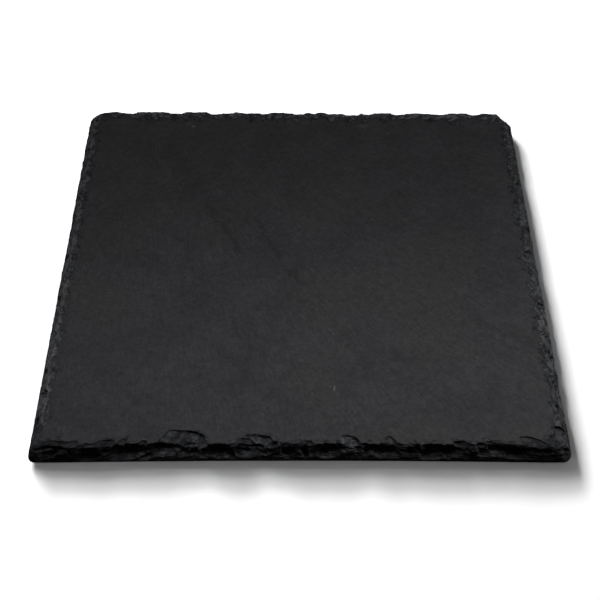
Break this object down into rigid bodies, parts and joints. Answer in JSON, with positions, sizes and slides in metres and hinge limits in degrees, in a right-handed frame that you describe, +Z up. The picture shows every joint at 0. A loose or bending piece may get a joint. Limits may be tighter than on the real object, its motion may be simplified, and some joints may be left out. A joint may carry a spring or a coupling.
{
  "type": "slate serving board",
  "caption": "Square natural slate serving board with a flat riven top, hand-dressed flaked edges and round non-slip pads bonded underneath.",
  "frame": {"origin": "centre of the board's footprint, on the surface that the four pads stand on", "axes": "+Z up, out of the serving face; +X to the right and +Y to the back, seen from the front edge"},
  "size_m": [0.2, 0.1999, 0.0092],
  "materials": {
    "slate": "riven natural slate, matt, with broken edges",
    "foam_pad": "closed-cell black foam, matt, with a fine cell texture",
    "adhesive_film": "translucent double-sided adhesive film"
  },
  "bodies": {
    "root": {"slab": "slate", "foot_pad_front_left": "foam_pad", "foot_pad_front_right": "foam_pad", "foot_pad_back_left": "foam_pad", "foot_pad_back_right": "foam_pad", "foot_film_front_left": "adhesive_film", "foot_film_front_right": "adhesive_film", "foot_film_back_left": "adhesive_film", "foot_film_back_right": "adhesive_film"}
  },
  "joints": []
}
